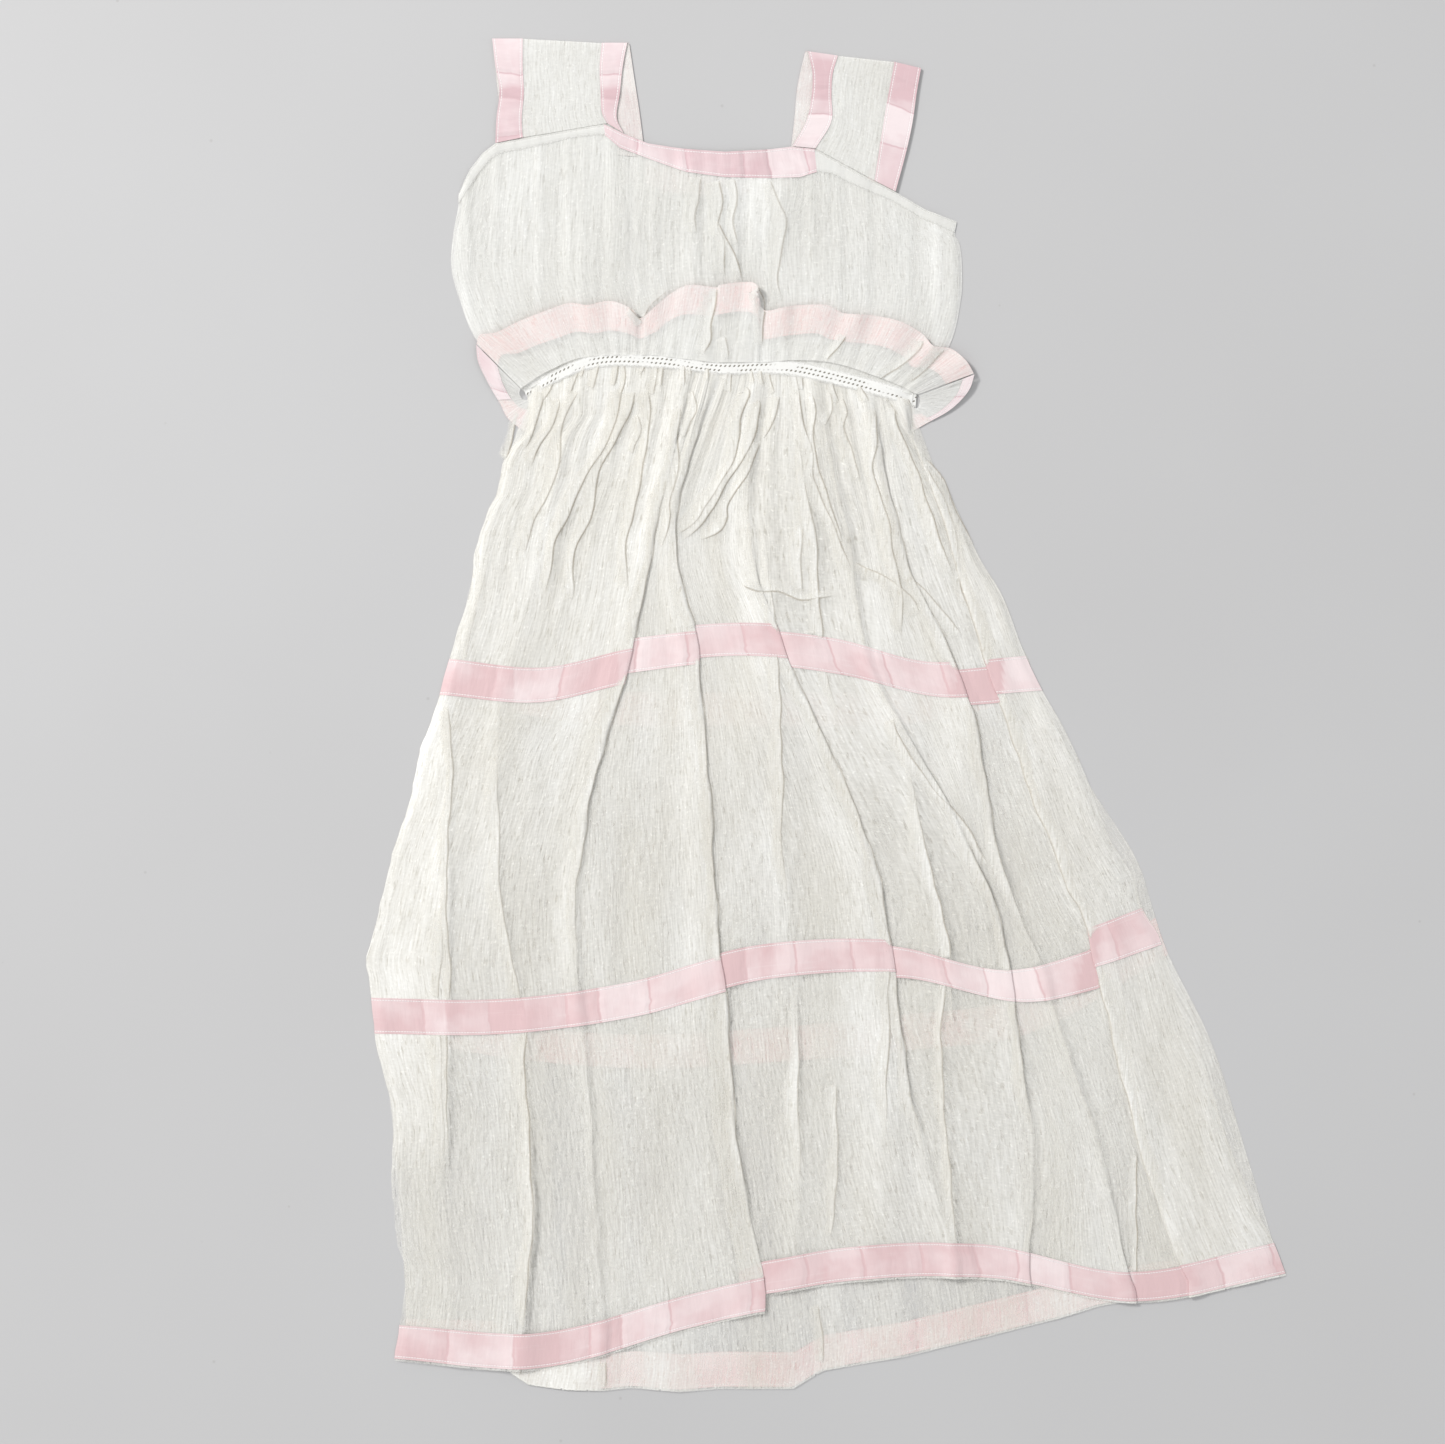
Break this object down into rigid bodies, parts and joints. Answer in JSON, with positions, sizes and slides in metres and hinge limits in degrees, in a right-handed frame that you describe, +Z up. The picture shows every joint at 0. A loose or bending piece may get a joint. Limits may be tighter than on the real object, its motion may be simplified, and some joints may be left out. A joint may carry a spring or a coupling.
{
  "type": "ruffled dress",
  "caption": "Long sleeveless gauze dress laid flat: square ribboned neck, wide straps, openwork waistband, waist ruffle turned up in front, gathered skirt with ribbon bands.",
  "frame": {"origin": "under the middle of the laid-out dress, on the surface it lies on", "axes": "+X across the dress to the viewer's right, +Y from the hem towards the shoulders, +Z up from the surface, out of the dress's front"},
  "size_m": [0.867, 1.2874, 0.0141],
  "materials": {
    "gauze": "crinkled open-weave cotton gauze, matt, slightly see-through",
    "ribbon": "pale pink satin ribbon, soft sheen",
    "binding": "white cotton binding, matt",
    "openwork": "white cotton insertion lace, matt, with small holes"
  },
  "bodies": {
    "root": {"skirt_front": "gauze", "skirt_back": "gauze", "bodice_front": "gauze", "bodice_back": "gauze", "strap_left": "gauze", "strap_right": "gauze", "ruffle_front": "gauze", "ruffle_back": "gauze", "waistband_front": "openwork", "waistband_back": "openwork", "armhole_binding_front_left": "binding", "armhole_binding_front_right": "binding", "armhole_binding_back_left": "binding", "armhole_binding_back_right": "binding", "ribbon_neck_front": "ribbon", "ribbon_neck_back": "ribbon", "ribbon_strap_left_outer": "ribbon", "ribbon_strap_left_inner": "ribbon", "ribbon_strap_right_outer": "ribbon", "ribbon_strap_right_inner": "ribbon", "ribbon_ruffle_front": "ribbon", "ribbon_ruffle_back": "ribbon", "ribbon_upper_front": "ribbon", "ribbon_upper_back": "ribbon", "ribbon_middle_front": "ribbon", "ribbon_middle_back": "ribbon", "ribbon_hem_front": "ribbon", "ribbon_hem_back": "ribbon"}
  },
  "joints": []
}
